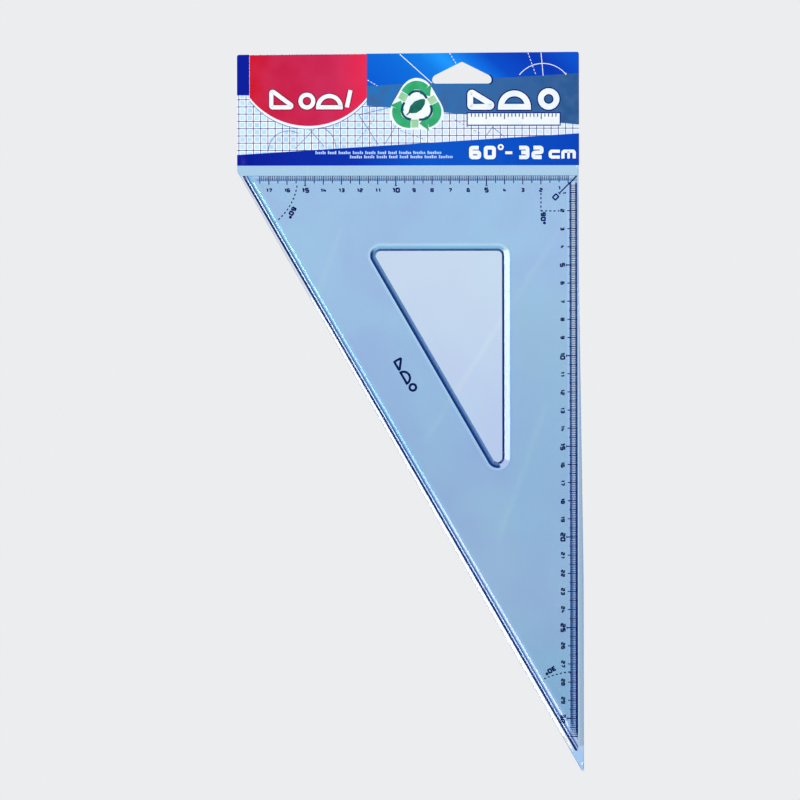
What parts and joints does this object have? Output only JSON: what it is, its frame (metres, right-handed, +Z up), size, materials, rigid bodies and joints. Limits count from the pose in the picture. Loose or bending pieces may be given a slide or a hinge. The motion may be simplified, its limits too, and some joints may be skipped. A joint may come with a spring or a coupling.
{
  "type": "set square",
  "caption": "Clear 30-60-90 set square with bevelled scale edges and a triangular window, in a slim film sleeve hung by a punched printed header.",
  "frame": {"origin": "top of the hang hole, midway through the header's thickness", "axes": "+X to the right as the pack is read, +Z up towards the header's top edge, -Y out of the printed front"},
  "size_m": [0.1906, 0.0038, 0.3961],
  "materials": {
    "square_styrene": "clear light blue polystyrene, polished mould faces",
    "sleeve_film": "thin clear polypropylene film, glossy",
    "weld_bead": "film melted into a clear bead",
    "header_print": "glossy film printed blue, red, slate and white",
    "header_white": "white film",
    "header_weld": "two films welded together"
  },
  "bodies": {
    "pack": {"sleeve_front_film": "sleeve_film", "sleeve_back_film": "sleeve_film", "slant_weld_bead": "weld_bead", "right_weld_bead": "weld_bead", "header_front_panel": "header_print", "header_back_panel": "header_white", "header_top_weld": "header_weld", "header_bottom_weld": "header_weld"},
    "square": {"set_square": "square_styrene"}
  },
  "joints": [
    {"name": "square_slide", "type": "slide", "parent": "pack", "child": "square", "axis": [0, 0, 1], "range_m": [0, 0.39]}
  ]
}
